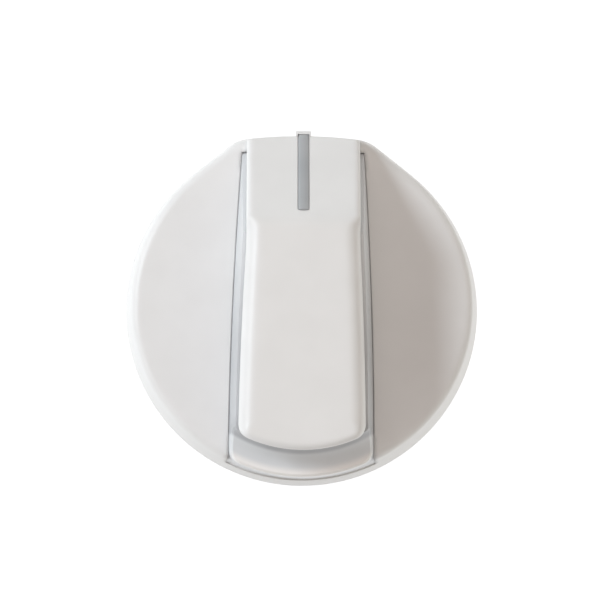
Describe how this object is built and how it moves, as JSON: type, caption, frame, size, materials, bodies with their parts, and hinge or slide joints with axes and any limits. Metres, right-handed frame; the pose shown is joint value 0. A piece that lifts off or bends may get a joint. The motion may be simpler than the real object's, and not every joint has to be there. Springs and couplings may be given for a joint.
{
  "type": "oven control knob",
  "caption": "Round oven control knob: white skirt with a raised ramped grip, grey side core with a scooped nose, grey pointer bar and a spring-held socket for a flatted shaft.",
  "frame": {"origin": "on the shaft axis, in the plane of the back rim, which is the lowest plane and faces the appliance panel", "axes": "+Z along the shaft axis from the panel towards the user, +Y from the axis towards the pointer end, +X to the right for a user with the pointer up"},
  "size_m": [0.045, 0.0451, 0.0185],
  "materials": {
    "white_plastic": "satin white moulded plastic with a very fine grain",
    "light_grey_plastic": "satin light bluish-grey moulded plastic",
    "grey_plastic": "satin mid-grey moulded plastic",
    "spring_steel": "plain rolled spring steel strip"
  },
  "bodies": {
    "root": {"knob_body": "white_plastic", "grip_core": "light_grey_plastic", "pointer": "grey_plastic", "shaft_spring": "spring_steel"}
  },
  "joints": []
}
